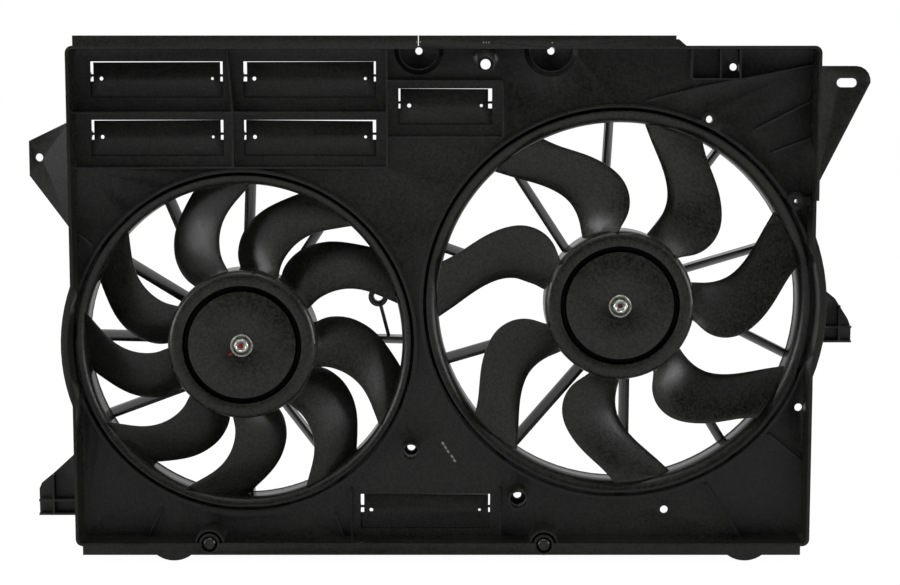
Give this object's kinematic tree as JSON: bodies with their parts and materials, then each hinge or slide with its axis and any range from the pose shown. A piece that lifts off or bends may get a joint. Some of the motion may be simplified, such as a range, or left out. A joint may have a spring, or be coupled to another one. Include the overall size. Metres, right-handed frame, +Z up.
{
  "type": "dual radiator fan assembly",
  "caption": "Black moulded dual radiator fan shroud with banded electric fans of different size and pressure-relief flaps.",
  "frame": {"origin": "under the middle of the assembly, on the plane of its two half-round feet", "axes": "+X right seen from the radiator, +Y rearwards away from the radiator, +Z up"},
  "size_m": [0.8, 0.099, 0.503],
  "materials": {
    "shroud_plastic": "satin moulded black",
    "flap_plastic": "satin moulded black",
    "fan_plastic": "satin moulded black",
    "pin_plastic": "smooth moulded black",
    "insert_steel": "turned",
    "zinc_steel": "zinc plated",
    "shaft_steel": "ground",
    "can_steel": "black coated",
    "cover_metal": "pressed, plain",
    "connector_plastic": "moulded",
    "core_steel": "laminated",
    "winding_copper": "enamelled wire",
    "commutator_copper": "turned",
    "card_plastic": "plain",
    "brush_carbon": "pressed carbon",
    "magnet_ferrite": "sintered",
    "bearing_steel": "ground"
  },
  "bodies": {
    "shroud": {"fan_shroud": "shroud_plastic", "isolator_pins": "pin_plastic", "left_motor_mount": "shroud_plastic", "left_motor_can": "can_steel", "left_motor_screws": "zinc_steel", "left_motor_end_cover": "cover_metal", "left_motor_connector": "connector_plastic", "left_brush_card": "card_plastic", "left_brushes": "brush_carbon", "left_magnets": "magnet_ferrite", "left_front_bearing": "bearing_steel", "left_rear_bearing": "bearing_steel", "right_motor_mount": "shroud_plastic", "right_motor_can": "can_steel", "right_motor_screws": "zinc_steel", "right_motor_end_cover": "cover_metal", "right_motor_connector": "connector_plastic", "right_brush_card": "card_plastic", "right_brushes": "brush_carbon", "right_magnets": "magnet_ferrite", "right_front_bearing": "bearing_steel", "right_rear_bearing": "bearing_steel"},
    "left_fan": {"left_fan_rotor": "fan_plastic", "left_hub_insert": "insert_steel", "left_fan_washer": "zinc_steel", "left_fan_nut": "zinc_steel", "left_motor_shaft": "shaft_steel", "left_armature_core": "core_steel", "left_windings": "winding_copper", "left_commutator": "commutator_copper"},
    "right_fan": {"right_fan_rotor": "fan_plastic", "right_hub_insert": "insert_steel", "right_fan_washer": "zinc_steel", "right_fan_nut": "zinc_steel", "right_motor_shaft": "shaft_steel", "right_armature_core": "core_steel", "right_windings": "winding_copper", "right_commutator": "commutator_copper"},
    "flap_1": {"flap_1": "flap_plastic"},
    "flap_2": {"flap_2": "flap_plastic"},
    "flap_3": {"flap_3": "flap_plastic"},
    "flap_4": {"flap_4": "flap_plastic"},
    "flap_5": {"flap_5": "flap_plastic"},
    "flap_6": {"flap_6": "flap_plastic"}
  },
  "joints": [
    {"name": "left_fan_spin", "type": "hinge", "parent": "shroud", "child": "left_fan", "pos_m": [-0.199, 0, 0.2085], "axis": [0, 1, 0], "continuous": true},
    {"name": "right_fan_spin", "type": "hinge", "parent": "shroud", "child": "right_fan", "pos_m": [0.164, 0, 0.2465], "axis": [0, 1, 0], "continuous": true},
    {"name": "flap_1_hinge", "type": "hinge", "parent": "shroud", "child": "flap_1", "pos_m": [-0.27925, -0.0123, 0.4659], "axis": [1, 0, 0], "range_deg": [0, 60]},
    {"name": "flap_2_hinge", "type": "hinge", "parent": "shroud", "child": "flap_2", "pos_m": [-0.27925, -0.0123, 0.4103], "axis": [1, 0, 0], "range_deg": [0, 60]},
    {"name": "flap_3_hinge", "type": "hinge", "parent": "shroud", "child": "flap_3", "pos_m": [-0.13305, -0.0123, 0.4659], "axis": [1, 0, 0], "range_deg": [0, 60]},
    {"name": "flap_4_hinge", "type": "hinge", "parent": "shroud", "child": "flap_4", "pos_m": [-0.13305, -0.0123, 0.4103], "axis": [1, 0, 0], "range_deg": [0, 60]},
    {"name": "flap_5_hinge", "type": "hinge", "parent": "shroud", "child": "flap_5", "pos_m": [-0.00355, -0.0123, 0.4402], "axis": [1, 0, 0], "range_deg": [0, 60]},
    {"name": "flap_6_hinge", "type": "hinge", "parent": "shroud", "child": "flap_6", "pos_m": [-0.02315, -0.0123, 0.0456], "axis": [1, 0, 0], "range_deg": [0, 60]}
  ]
}
